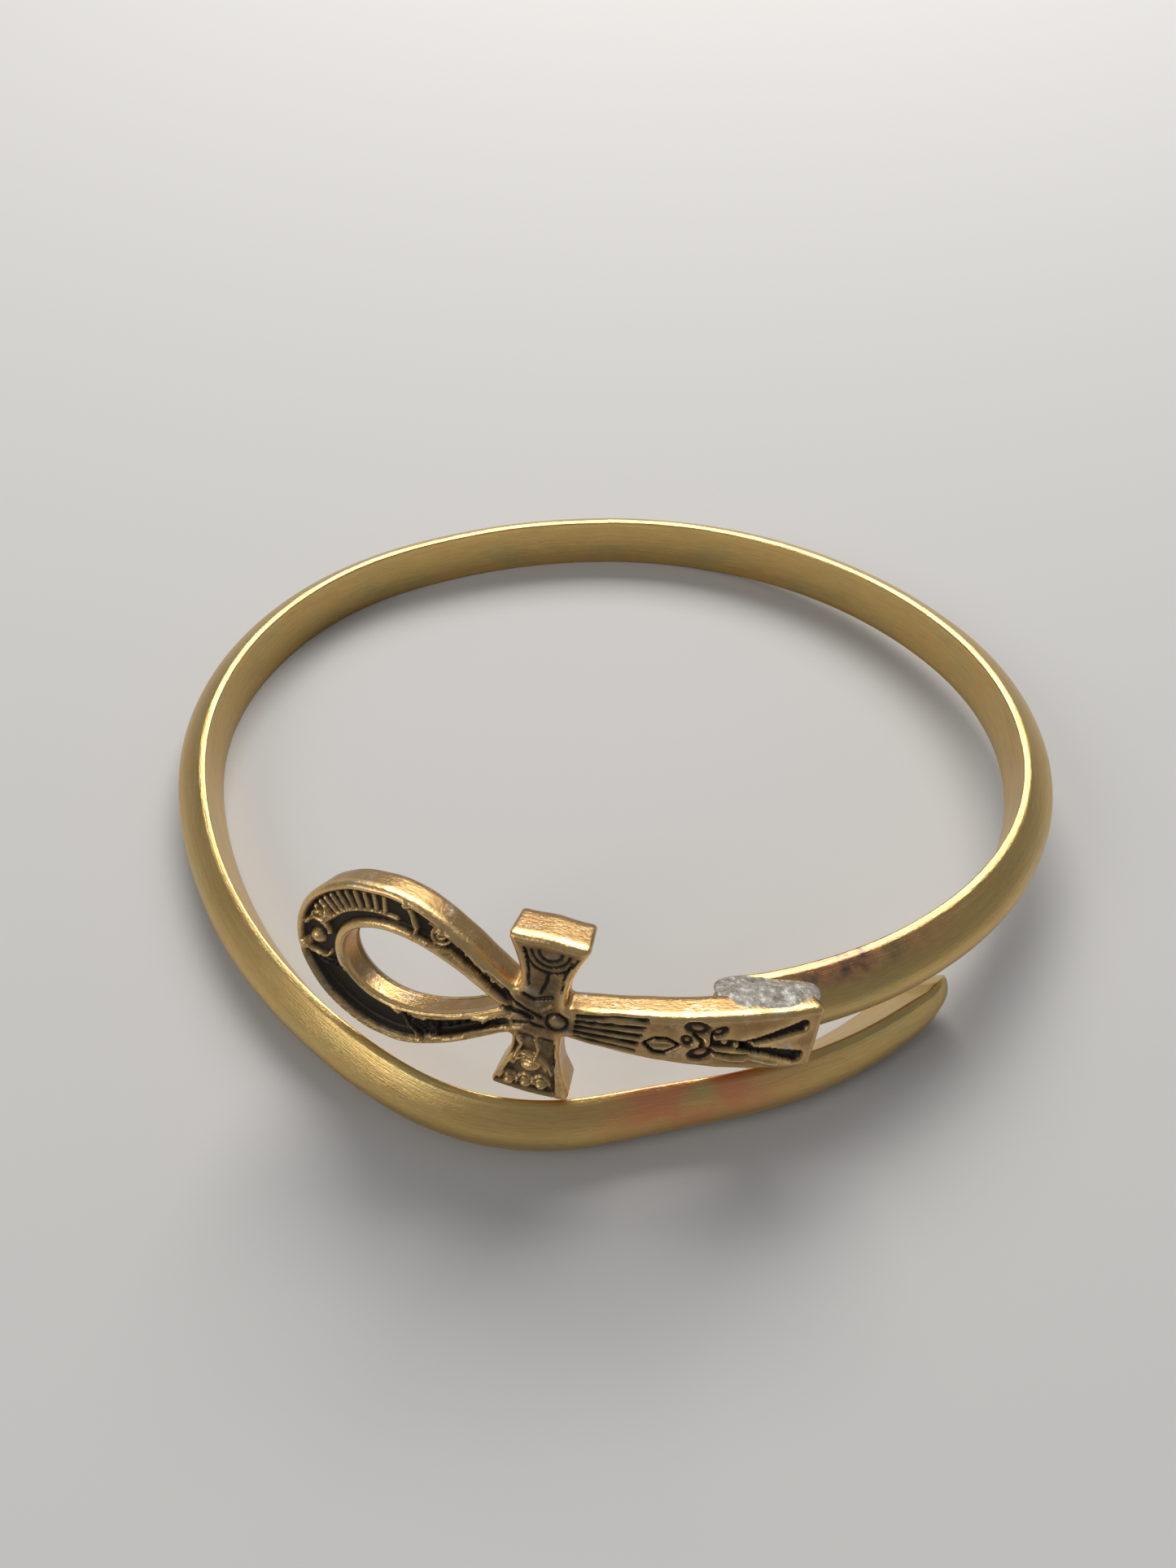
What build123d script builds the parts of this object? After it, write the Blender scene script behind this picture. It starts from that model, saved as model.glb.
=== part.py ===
from build123d import *
import math
import os

# Bypass bangle: one half-round brass wire whose two ends pass each other at the front, with a cast
# ankh soldered to the outside of the right-hand end. Millimetres, +Z up. The free arm lies on Z = 0,
# the ankh arm rides over its end, the ankh faces -Y, and the origin is under the middle of the box.

# Half-round wire: flat face inward, dome outward, a filed facet along each edge
wire_height = 4.5
wire_thickness = 2.7
facet_width = 0.55
tongue_length = 2.2

# Plan of the wire's flat inner face, as tangent bends (radius, degrees) from the middle of the back.
# A negative radius bends the other way.
back_middle = (0.66, 28.7)
free_arm_bends = [(40.9, 27.9), (23.1, 74.5), (39.6, 46.3), (14.9, 45.7), (-108.0, 3.25), (31.8, 32.9)]
ankh_arm_bends = [(30.8, 63.0), (24.4, 73.8), (29.1, 33.0)]

# Hand twist of the free arm: (share of its length, degrees that its top leans outward)
free_arm_leans = [(0, 0), (0.36, 0), (0.5, 11), (0.75, 18), (1, 25)]

# The ankh arm climbs towards its end, so that it rides over the free arm
climb_degrees = 5.0

# Ankh, measured along its own face from the end of its foot
ankh_thickness = 2.1
foot_width = 4.55
stem_middle = 8.1
stem_middle_width = 3.5
waist_width = 1.9
cross_position = 16.55
cross_span = 11.2
cross_end_width = 4.9
cross_neck_width = 2.35
cross_flare = 0.25
loop_start = 17.15
loop_widest = 26.05
loop_end = 32.9
loop_width = 10.75
eye_start = 18.8
eye_widest = 25.7
eye_end = 29.4
eye_width = 5.25
shoulder_slope = 0.8
eye_slope = 0.6

# Bend of the ankh around the wrist: the stem is bent more than the loop
stem_bend_radius = 29.9
loop_bend_radius = 51.4

# Place of the end of the ankh's foot, and the ankh's three turns in degrees
foot_point = (12.2, -27.85, 8.6)
foot_yaw = 19.0
lean_back = 15.1
rise_to_loop = 13.0

# Soft solder over the joint, measured like the ankh
solder_length = 5.0
solder_rise = 0.15
solder_reach = 3.0
solder_drop = 0.8
solder_edge = 0.2

# Cutting and trimming shapes run past the metal by this much
overrun = 1.0

os.makedirs("parts", exist_ok=True)


def add_bends(start, tangent, bends, turn):
    """Lay tangent arcs one after another; turn is 1 anticlockwise, -1 clockwise."""
    for radius, degrees in bends:
        side = turn if radius > 0 else -turn
        arc = JernArc(start=start, tangent=tangent, radius=abs(radius), arc_size=side * degrees)
        start = arc @ 1
        tangent = arc % 1


def wire_plane(point, tangent):
    """Plane across the wire, its X pointing away from the wrist."""
    outward = Vector(tangent.Y, -tangent.X, 0)
    if outward.dot(point) < 0:
        outward = -outward
    return Plane(origin=point, x_dir=outward, z_dir=tangent)


def wire_section(plane):
    """Half-round section: X is outward from the flat face, Y is across the wire."""
    half = wire_height / 2
    with BuildSketch(plane) as section:
        with BuildLine():
            Polyline((facet_width, -half), (0, -half), (0, half), (facet_width, half))
            ThreePointArc((facet_width, half), (wire_thickness, 0), (facet_width, -half))
        make_face()
    return section.sketch


def leaning_section(path, share, degrees):
    """Section this share of the way along the free arm, its top leaning outward, resting on Z = 0."""
    upright = wire_plane(path @ share, path % share)
    section = wire_section(upright).rotate(Axis(upright.origin, upright.z_dir), degrees)
    return section.moved(Location((0, 0, -section.bounding_box().min.Z)))


def tongue_waste(point, tangent):
    """What is filed off the wire's end to round it, as a sketch seen from outside."""
    side = Plane(origin=point, x_dir=-tangent, z_dir=wire_plane(point, tangent).x_dir)
    with BuildSketch(side) as waste:
        Rectangle(tongue_length, wire_height + overrun, align=(Align.MIN, Align.CENTER))
        with Locations((tongue_length, 0)):
            Ellipse(tongue_length, wire_height / 2, mode=Mode.SUBTRACT)
    return waste.sketch


mid_wire = Plane.XY.offset(wire_height / 2)
climb_axis = Axis((0, back_middle[1] + facet_width, 0), (-1, 0, 0))

with BuildPart() as band_free_arm:
    with BuildLine(mid_wire) as free_path:
        add_bends(back_middle, (-1, 0), free_arm_bends, 1)
    leaning = [leaning_section(free_path.line, share, degrees) for share, degrees in free_arm_leans]
    sweep(leaning, path=free_path.line, multisection=True)
    extrude(
        tongue_waste(free_path.line @ 1, free_path.line % 1),
        amount=2 * wire_thickness,
        both=True,
        mode=Mode.SUBTRACT,
    )
    split(bisect_by=Plane.XY)
band_free_arm.part.label = "band_free_arm"

with BuildPart() as band_ankh_arm:
    with BuildLine(mid_wire) as ankh_path:
        add_bends(back_middle, (1, 0), ankh_arm_bends, -1)
    sweep(wire_section(wire_plane(ankh_path.line @ 0, ankh_path.line % 0)), path=ankh_path.line)
    extrude(
        tongue_waste(ankh_path.line @ 1, ankh_path.line % 1),
        amount=2 * wire_thickness,
        both=True,
        mode=Mode.SUBTRACT,
    )
band_ankh_arm.part = band_ankh_arm.part.rotate(climb_axis, climb_degrees)
band_ankh_arm.part.label = "band_ankh_arm"

# Ankh frame at the foot's end: X points back past the foot, Y up the ankh, Z out of its face
ankh_turns = Rotation(0, 0, foot_yaw) * Rotation(-lean_back, 0, 0) * Rotation(0, rise_to_loop, 0)
ankh_frame = Location(foot_point) * ankh_turns * Plane.XZ.location
stem_degrees = math.degrees(cross_position / stem_bend_radius)
loop_degrees = math.degrees((loop_end - cross_position) / loop_bend_radius)


def face_plane(distance):
    """Plane tangent to the ankh's bent face, this far along it from the foot's end."""
    stem_turn = min(distance, cross_position) / stem_bend_radius
    turn = stem_turn + max(distance - cross_position, 0) / loop_bend_radius
    across = math.sin(turn) - math.sin(stem_turn)
    inward = math.cos(turn) - math.cos(stem_turn)
    x = -stem_bend_radius * math.sin(stem_turn) - loop_bend_radius * across
    z = stem_bend_radius * (math.cos(stem_turn) - 1) + loop_bend_radius * inward
    x_dir = (math.cos(turn), 0, math.sin(turn))
    flat = Plane(origin=(x, 0, z), x_dir=x_dir, z_dir=(-math.sin(turn), 0, math.cos(turn)))
    return Plane(ankh_frame * flat.location)


with BuildPart() as ankh:
    with BuildSketch(face_plane(stem_middle)):
        with BuildLine():
            beyond_foot = stem_middle + overrun
            foot_corner = (beyond_foot, foot_width / 2)
            waist_corner = (stem_middle - cross_position, waist_width / 2)
            edge = Spline(foot_corner, (0, stem_middle_width / 2), waist_corner)
            Line((beyond_foot, 0), edge @ 0)
            Line(edge @ 1, (stem_middle - cross_position, 0))
            mirror(about=Plane.XZ)
        make_face()
    extrude(amount=2 * ankh_thickness, both=True)
    with BuildSketch(face_plane(cross_position)):
        with BuildLine():
            end_corner = (cross_end_width / 2, cross_span / 2)
            halfway = (cross_neck_width / 2 + cross_flare, cross_span / 4)
            side = ThreePointArc(end_corner, halfway, (cross_neck_width / 2, 0))
            Line((0, cross_span / 2), side @ 0)
            mirror(about=Plane.XZ)
            mirror(about=Plane.YZ)
        make_face()
    extrude(amount=2 * ankh_thickness, both=True)
    with BuildSketch(face_plane(loop_widest)):
        with BuildLine():
            round_end = EllipticalCenterArc(
                (0, 0), loop_end - loop_widest, loop_width / 2, start_angle=90, arc_size=90
            )
            shoulder = Spline(
                round_end @ 0,
                (loop_widest - loop_start, waist_width / 2),
                tangents=[(1, 0), (1, -shoulder_slope)],
            )
            Line(shoulder @ 1, (loop_widest - loop_start, 0))
            mirror(about=Plane.XZ)
        make_face()
        with BuildLine():
            eye_middle = loop_widest - eye_widest
            eye_round = EllipticalCenterArc(
                (eye_middle, 0), eye_end - eye_widest, eye_width / 2, start_angle=90, arc_size=90
            )
            Spline(eye_round @ 0, (loop_widest - eye_start, 0), tangents=[(1, 0), (1, -eye_slope)])
            mirror(about=Plane.XZ)
        make_face(mode=Mode.SUBTRACT)
    extrude(amount=2 * ankh_thickness, both=True)
    with BuildSketch(Plane(ankh_frame * Plane.XZ.location)):
        with BuildLine():
            front = JernArc((0, 0), (-1, 0), stem_bend_radius, stem_degrees)
            front_end = JernArc(front @ 1, front % 1, loop_bend_radius, loop_degrees + overrun)
            back_start = (0, -ankh_thickness)
            back = JernArc(back_start, (-1, 0), stem_bend_radius - ankh_thickness, stem_degrees)
            inner_radius = loop_bend_radius - ankh_thickness
            back_end = JernArc(back @ 1, back % 1, inner_radius, loop_degrees + overrun)
            Line(front @ 0, back @ 0)
            Line(front_end @ 1, back_end @ 1)
        make_face()
    extrude(amount=cross_span, both=True, mode=Mode.INTERSECT)
ankh.part.label = "ankh"

with BuildPart() as solder_fillet:
    with BuildSketch(Plane(ankh_frame * Location((-solder_edge / 2, 0, 0)) * Plane.YZ.location)):
        with BuildLine():
            top = foot_width / 2 + solder_rise
            Polyline(
                (-solder_drop, -ankh_thickness),
                (foot_width / 2 - solder_edge, -solder_edge),
                (top, -2 * solder_edge),
                (top, -ankh_thickness),
                (top - 2 * solder_edge, -ankh_thickness - solder_reach),
                (-solder_drop, -ankh_thickness - solder_reach),
                close=True,
            )
        make_face()
    extrude(amount=-solder_length)
    add(ankh.part, mode=Mode.SUBTRACT)
    add(band_ankh_arm.part, mode=Mode.SUBTRACT)
solder_fillet.part.label = "solder_fillet"

for piece in (band_ankh_arm, band_free_arm, ankh, solder_fillet):
    export_step(piece.part, f"parts/{piece.part.label}.step")
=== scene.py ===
import bpy
import math
import numpy as np
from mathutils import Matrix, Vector, noise
from mathutils.geometry import delaunay_2d_cdt


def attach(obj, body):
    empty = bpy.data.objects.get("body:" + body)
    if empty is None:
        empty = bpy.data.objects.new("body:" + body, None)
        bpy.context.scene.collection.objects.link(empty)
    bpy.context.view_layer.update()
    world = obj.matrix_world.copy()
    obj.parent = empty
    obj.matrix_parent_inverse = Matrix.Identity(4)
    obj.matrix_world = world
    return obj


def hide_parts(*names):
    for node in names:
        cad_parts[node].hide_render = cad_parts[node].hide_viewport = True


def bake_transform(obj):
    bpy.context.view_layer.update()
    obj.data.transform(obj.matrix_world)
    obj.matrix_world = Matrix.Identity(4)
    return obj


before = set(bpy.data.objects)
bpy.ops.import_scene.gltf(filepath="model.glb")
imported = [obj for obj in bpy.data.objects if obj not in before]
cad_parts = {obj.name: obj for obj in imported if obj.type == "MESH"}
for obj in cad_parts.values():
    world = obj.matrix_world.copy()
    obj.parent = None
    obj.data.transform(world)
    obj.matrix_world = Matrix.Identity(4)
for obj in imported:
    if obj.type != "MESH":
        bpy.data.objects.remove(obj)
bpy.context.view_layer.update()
mm = 0.001
print("frame loaded:", sorted(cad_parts))


# ---- small helpers shared by the pieces

def smoothStep(x, low, high):
    t = np.clip((x - low) / (high - low), 0, 1)
    return t * t * (3 - 2 * t)


def bell(x, middle, width):
    return np.exp(-((x - middle) / width) ** 2)


def unevenness(points, scale, seed=0.0):
    # smooth random values between about -1 and 1, one for each point (millimetres)
    shift = Vector((seed, seed * 1.7, seed * 0.3))
    return np.array([noise.noise(Vector(p) / scale + shift) for p in points])


def makeMesh(name, verts, faces, attributes, smooth=True):
    mesh = bpy.data.meshes.new(name)
    mesh.from_pydata([tuple(v) for v in np.asarray(verts) * mm], [], faces)
    mesh.validate()
    for key, values in attributes.items():
        values = np.asarray(values, np.float32)
        if values.ndim == 2:
            layer = mesh.attributes.new(key, "FLOAT_VECTOR", "POINT")
            layer.data.foreach_set("vector", values.ravel())
        else:
            layer = mesh.attributes.new(key, "FLOAT", "POINT")
            layer.data.foreach_set("value", values)
    mesh.polygons.foreach_set("use_smooth", [smooth] * len(mesh.polygons))
    mesh.update()
    piece = bpy.data.objects.new(name, mesh)
    bpy.context.scene.collection.objects.link(piece)
    return piece


# ---- camera

camera = {"aim": (-1.19, -0.23, 0), "distance": 91, "pitch": 48, "lens": 26.15}


def addCamera(c):
    pitch = math.radians(c["pitch"])
    away = Vector((0, -math.cos(pitch), math.sin(pitch))) * c["distance"]
    data = bpy.data.cameras.new("camera")
    data.lens = c["lens"]
    data.sensor_width = 36
    data.clip_start = 0.005
    data.dof.use_dof = False
    holder = bpy.data.objects.new("camera", data)
    holder.location = (Vector(c["aim"]) + away) * mm
    holder.rotation_euler = (math.pi / 2 - pitch, 0, 0)
    bpy.context.scene.collection.objects.link(holder)
    bpy.context.scene.camera = holder


addCamera(camera)
print("camera placed")

# ---- the wire

wire = {
    "height": 4.5,            # across the flat side
    "thickness": 2.7,
    "facet": 0.55,            # filed edge beside the flat
    "cornerSoftness": 0.12,
    "backMiddle": (0.66, 28.7),
    "step": 0.4,              # ring spacing along the wire
    "softening": 3.0,         # how gently one bend runs into the next
    "domeDivisions": 28,
    "domeFullness": 2.3,      # above 2 gives a flatter crown and a crisper facet
    "tongueLength": 2.3,
    "tongueRings": 12,
    "endThickness": 0.25,     # share of the thickness left at the very end
    "endCentre": 0.4,         # where in the thickness the thinned end sits
    "twistPivot": 0.9,        # depth of the line that the hand twist turns about
    "twistSoftening": 12,     # rings over which the twist eases in
    "climbLead": 0.3,         # an arm starts to rise this far outside the back middle
    "handBend": 0.035,        # unevenness of the surface
    "dentSize": 2.2,
    "dentStretch": 0.35,      # dents are longer along the wire
}

freeArm = {
    "bends": [(40.9, 27.9), (23.1, 74.5), (39.6, 46.3), (14.9, 45.7), (-108.0, 3.25), (31.8, 32.9)],
    "turn": 1,
    # hand twist: millimetres along the wire, then degrees
    "leans": [(0, 0), (43, 0), (60, -11), (89, -18), (105, -27), (121, -40)],
    "climb": 0,
    "taper": 5.0,             # how far from the end the thickness starts to fall away
}

ankhArm = {
    "bends": [(30.8, 63.0), (24.4, 73.8), (29.1, 37.5)],
    "turn": -1,
    "leans": [(0, 0), (40, 0), (56, -4), (68, 0), (80, 5)],
    "taper": 1.1,
    "climb": 5.6,             # degrees that this arm rises towards its end
}

stains = {
    "copperAt": 5.0,          # middle of the copper patch on the free arm, from side to side
    "copperReach": 4.6,
    "copperStrength": 1.5,
    "jointAt": 14.0,          # reddened top of the other arm beside the joint
    "jointReach": 7.0,
    "jointStrength": 0.8,
    "heatAt": 14.5,
    "heatReach": 4.2,
}


def wireCourse(bends, turn):
    # curvature of the tangent bends, softened, then added up to headings and places
    step = wire["step"]
    lengths = [abs(radius) * math.radians(degrees) for radius, degrees in bends]
    ends = np.cumsum(lengths)
    along = np.linspace(0, ends[-1], int(round(ends[-1] / step)) + 1)
    which = np.minimum(np.searchsorted(ends, along), len(bends) - 1)
    curvature = np.array([turn / bends[i][0] for i in which])
    reach = int(round(wire["softening"] / step))
    window = np.hanning(2 * reach + 3)[1:-1]
    padded = np.pad(curvature, reach, mode="edge")
    curvature = np.convolve(padded, window / window.sum(), "valid")
    step = along[1]
    heading = (math.pi if turn > 0 else 0) + np.concatenate(
        [[0], np.cumsum((curvature[1:] + curvature[:-1]) / 2 * step)]
    )
    middle = (heading[1:] + heading[:-1]) / 2
    x = wire["backMiddle"][0] + np.concatenate([[0], np.cumsum(np.cos(middle) * step)])
    y = wire["backMiddle"][1] + np.concatenate([[0], np.cumsum(np.sin(middle) * step)])
    return along, x, y, heading


def wireSection():
    # (outward, across) round the half-round section, starting in the middle of the flat
    half, facet, thick = wire["height"] / 2, wire["facet"], wire["thickness"]
    soft = wire["cornerSoftness"]
    points = [(0, a) for a in np.linspace(0, half - soft, 6)]
    points += [(soft * 0.3, half - soft * 0.3), (soft, half), (facet - soft, half)]
    n = wire["domeDivisions"]
    for i in range(n + 1):
        across = half * math.cos(math.pi * i / n)
        points.append((facet + (thick - facet) * (1 - abs(across / half) ** wire["domeFullness"]), across))
    points += [(facet - soft, -half), (soft, -half), (soft * 0.3, -half + soft * 0.3)]
    points += [(0, -a) for a in np.linspace(half - soft, 0, 6)[:-1]]
    return np.array(points)


def buildArm(name, arm):
    along, x, y, heading = wireCourse(arm["bends"], arm["turn"])
    section = wireSection()
    length = along[-1]
    # the end rings close up into a rounded tongue
    fromEnd = length - along
    tail = wire["tongueLength"] * (1 - np.cos(np.linspace(0, math.pi / 2, wire["tongueRings"])))[::-1]
    keep = fromEnd > wire["tongueLength"]
    stations = np.concatenate([along[keep], length - tail])
    x, y, heading = (np.interp(stations, along, v) for v in (x, y, heading))
    fromEnd = length - stations
    narrowing = np.sqrt(np.clip(1 - (1 - fromEnd / wire["tongueLength"]) ** 2, 0, 1))
    narrowing[fromEnd >= wire["tongueLength"]] = 1
    toTip = 1 - np.minimum(fromEnd / arm["taper"], 1)
    left = wire["endThickness"]
    thinning = left + (1 - left) * np.sqrt(np.clip(1 - toTip ** 2, 0, 1))
    lean = np.radians(np.interp(stations, *zip(*arm["leans"])))
    ease, pivot = wire["twistSoftening"], wire["twistPivot"]
    window = np.hanning(2 * ease + 1)
    lean = np.convolve(np.pad(lean, ease, mode="edge"), window / window.sum(), "valid")
    ahead = np.clip(wire["backMiddle"][1] + wire["climbLead"] - y, 0, None)
    climb = math.tan(math.radians(arm["climb"])) * ahead
    side = arm["turn"]
    verts, space = [], []
    for i, s in enumerate(stations):
        out = section[:, 0] * thinning[i]
        out = out + wire["thickness"] * wire["endCentre"] * (1 - thinning[i])
        across = section[:, 1] * max(narrowing[i], 0.02)
        outLean = pivot + (out - pivot) * math.cos(lean[i]) - across * math.sin(lean[i])
        up = across * math.cos(lean[i]) + (out - pivot) * math.sin(lean[i])
        lift = wire["height"] / 2
        if narrowing[i] > 0.999:
            lift = -up.min()
        rise = up + lift + climb[i]
        nx, ny = side * math.sin(heading[i]), -side * math.cos(heading[i])
        ring = np.stack([x[i] + nx * outLean, y[i] + ny * outLean, rise], 1)
        verts.append(ring)
        space.append(np.stack([np.full(len(out), s), across, out], 1))
    rings, n = len(verts), len(section)
    verts, space = np.concatenate(verts), np.concatenate(space)
    bumps = unevenness(space * (wire["dentStretch"], 1, 1), wire["dentSize"], 3.0 + side)
    middle = np.repeat(np.array([v.mean(0) for v in verts.reshape(rings, n, 3)]), n, 0)
    outward = verts - middle
    outward /= np.maximum(np.linalg.norm(outward, axis=1), 0.3)[:, None]
    verts = verts + outward * (bumps * wire["handBend"])[:, None] * (0.2 + 0.8 * (space[:, 2:] > 0.2))
    verts[:, 2] = np.maximum(verts[:, 2], 0)
    faces = []
    for i in range(rings - 1):
        for j in range(n):
            k = (j + 1) % n
            quad = (i * n + j, i * n + k, (i + 1) * n + k, (i + 1) * n + j)
            faces.append(quad if side > 0 else quad[::-1])
    last = [(rings - 1) * n + j for j in range(n)]
    first = list(range(n))
    faces.append(tuple(last) if side > 0 else tuple(last[::-1]))
    faces.append(tuple(first[::-1]) if side > 0 else tuple(first))
    top = smoothStep(space[:, 1], 0.2, 1.9)
    k = stains
    patches = k["copperStrength"] * bell(verts[:, 0], k["copperAt"], k["copperReach"])
    patches = patches * (verts[:, 1] < 0) * top * (side > 0)
    onTop = (verts[:, 1] < 0) * smoothStep(space[:, 1], 1.3, 2.1) * (side < 0)
    patches += k["jointStrength"] * bell(verts[:, 0], k["jointAt"], k["jointReach"]) * onTop
    heat = bell(verts[:, 0], k["heatAt"], k["heatReach"]) * onTop
    # painted shade: the lower half of the dome, away from the flat, is coloured darker
    lowerDomeShade = smoothStep(-space[:, 1], 0.1, 2.2) * smoothStep(space[:, 2], 0.3, 1.2)
    attributes = {"wireSpace": space, "copperStain": patches, "heatStain": heat, "lowerDomeShade": lowerDomeShade}
    piece = makeMesh(name, verts, faces, attributes)
    # the flat ends keep the bright edges beside them from shading round
    caps = [piece.data.polygons[len(faces) - 2], piece.data.polygons[len(faces) - 1]]
    ends = set(caps[0].edge_keys) | set(caps[1].edge_keys)
    for cap in caps:
        cap.use_smooth = False
    for edge in piece.data.edges:
        edge.use_edge_sharp = edge.key in ends
    return piece


freeBand = buildArm("bandFreeArm", freeArm)
ankhBand = buildArm("bandAnkhArm", ankhArm)
print("wire bent:", len(freeBand.data.vertices) + len(ankhBand.data.vertices), "points")

# ---- the ankh, drawn flat as (along from the foot's end, up) and then bent to the wrist

ankh = {
    "thickness": 2.2,
    "footHalf": 2.4,
    "cross": 17.4,
    "armHalfSpan": 5.85,
    "armHalfEnd": 2.6,
    "armSwell": (0.25, 0.5),  # extra metal in front and behind at the arms' ends
    "loopWidest": 27.4,
    "loopEnd": 34.6,
    "loopHalf": 5.65,
    "eyeStart": 19.8,
    "eyeWidest": 27.0,
    "eyeEnd": 30.9,
    "eyeHalf": 2.75,
    "edgeRadius": 0.42,
    "outerRim": 0.5,
    "innerRim": 0.55,
    "floorDepth": 0.5,
    "stemBend": 31.4,
    "loopBend": 54.0,
    "foot": (12.2, -27.85, 8.6),
    "shrink": 0.951,          # the casting comes out smaller than its drawing
    "yaw": 19.0,
    "leanBack": 15.1,
    "rise": 13.0,
    "spacing": 0.11,
}


def bezier(a, b, c, d, count):
    t = np.linspace(0, 1, count)[:, None]
    a, b, c, d = map(np.array, (a, b, c, d))
    return a * (1 - t) ** 3 + 3 * b * t * (1 - t) ** 2 + 3 * c * t * t * (1 - t) + d * t ** 3


def softCorner(before, corner, after, reach):
    before, corner, after = map(np.array, (before, corner, after))
    start = corner + (before - corner) / np.linalg.norm(before - corner) * reach
    end = corner + (after - corner) / np.linalg.norm(after - corner) * reach
    t = np.linspace(0, 1, 7)[:, None]
    return start * (1 - t) ** 2 + 2 * corner * t * (1 - t) + end * t * t


def stemHalf(u):
    return ankh["footHalf"] - 0.0389 * u - 0.00304 * u * u


def quarterTurn(turn, widest, end, half):
    return np.stack([widest + (end - widest) * np.sin(turn), half * np.cos(turn)], 1)


def ankhOutline():
    # upper edge from the foot's middle round to the loop's end, then its mirror image
    a = ankh
    top, span, end = a["footHalf"], a["armHalfSpan"], a["armHalfEnd"]
    stem = [(u, stemHalf(u)) for u in np.linspace(0.6, 15.3, 40)]
    right = bezier((15.95, 1.9), (15.9, 3.0), (15.5, 4.4), (a["cross"] - end, span), 20)
    left = bezier((a["cross"] + end, span), (19.3, 4.4), (18.9, 3.2), (18.9, 2.4), 20)
    loop = bezier((19.5, 1.95), (21.2, 3.1), (24.4, 5.65), (a["loopWidest"], a["loopHalf"]), 40)
    turn = np.linspace(0, math.pi / 2, 50)[1:]
    roundEnd = quarterTurn(turn, a["loopWidest"], a["loopEnd"], a["loopHalf"])
    bulge = (a["cross"], span + 0.12)
    half = np.concatenate([
        [(0, 0.0)],
        softCorner((0, 0), (0, top), stem[1], 0.5),
        stem[1:],
        softCorner(stem[-1], (15.9, 1.0), right[1], 0.45),
        right[2:-2],
        softCorner(right[-3], right[-1], bulge, 0.5),
        [bulge],
        softCorner(bulge, left[0], left[2], 0.5),
        left[2:-2],
        softCorner(left[-3], (18.95, 1.75), loop[1], 0.4),
        loop[2:],
        roundEnd,
    ])
    mirror = half[1:-1][::-1] * (1, -1)
    return np.concatenate([half, mirror])


def ankhEye():
    a = ankh
    turn = np.linspace(0, math.pi / 2, 30)[1:]
    widest = (a["eyeWidest"], a["eyeHalf"])
    side = bezier((a["eyeStart"], 0), (21.6, 1.25), (24.4, a["eyeHalf"]), widest, 40)
    roundEnd = quarterTurn(turn, a["eyeWidest"], a["eyeEnd"], a["eyeHalf"])
    half = np.concatenate([side, roundEnd])
    return np.concatenate([half, half[1:-1][::-1] * (1, -1)])


def evenly(points, spacing):
    # the closed outline walked in equal steps
    closed = np.concatenate([points, points[:1]])
    run = np.concatenate([[0], np.cumsum(np.linalg.norm(np.diff(closed, axis=0), axis=1))])
    s = np.linspace(0, run[-1], int(run[-1] / spacing) + 1)[:-1]
    return np.stack([np.interp(s, run, closed[:, 0]), np.interp(s, run, closed[:, 1])], 1)


def distanceTo(points, line, closed=False):
    best = np.full(len(points), 1e9)
    line = np.asarray(line, float)
    ends = np.roll(line, -1, 0) if closed else line[1:]
    for a, b in zip(line if closed else line[:-1], ends):
        ab = b - a
        t = np.clip(((points - a) @ ab) / max(ab @ ab, 1e-12), 0, 1)
        gap = points - a - t[:, None] * ab
        best = np.minimum(best, (gap ** 2).sum(1))
    return np.sqrt(best)


def inside(points, polygon):
    x, y = points[:, 0], points[:, 1]
    odd = np.zeros(len(points), bool)
    for (ax, ay), (bx, by) in zip(polygon, np.roll(polygon, -1, 0)):
        crosses = (ay > y) != (by > y)
        if ay != by:
            odd ^= crosses & (x < (bx - ax) * (y - ay) / (by - ay) + ax)
    return odd


def inwardNormals(loop, sign):
    ahead = np.roll(loop, -2, 0) - np.roll(loop, 2, 0)
    normal = np.stack([ahead[:, 1], -ahead[:, 0]], 1)
    normal /= np.linalg.norm(normal, axis=1)[:, None]
    return normal * sign


def area(loop):
    x, y = loop[:, 0], loop[:, 1]
    return 0.5 * float(np.sum(x * np.roll(y, -1) - np.roll(x, -1) * y))


# relief strokes: every one adds to the height of the face


def stroke(state, line, width, height, sharp=2):
    d = distanceTo(state["points"], line) / (width / 2)
    state["height"] += height * np.clip(1 - d ** 2, 0, 1) ** sharp


def dome(state, centre, radii, degrees, height, power=0.6):
    c, s = math.cos(math.radians(degrees)), math.sin(math.radians(degrees))
    gap = state["points"] - np.array(centre)
    a = (gap[:, 0] * c + gap[:, 1] * s) / radii[0]
    b = (-gap[:, 0] * s + gap[:, 1] * c) / radii[1]
    state["height"] += height * np.clip(1 - a * a - b * b, 0, 1) ** power


def arcLine(centre, radii, start, end, count=14):
    t = np.radians(np.linspace(start, end, count))
    return np.stack([centre[0] + radii[0] * np.cos(t), centre[1] + radii[1] * np.sin(t)], 1)


def spiralLine(centre, radius, turns, start, squash=1.0, count=36):
    t = np.linspace(0, 1, count)
    angle = np.radians(start) + t * turns * 2 * math.pi
    r = radius * (1 - 0.85 * t)
    return np.stack([centre[0] + r * np.cos(angle), centre[1] + squash * r * np.sin(angle)], 1)


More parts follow.
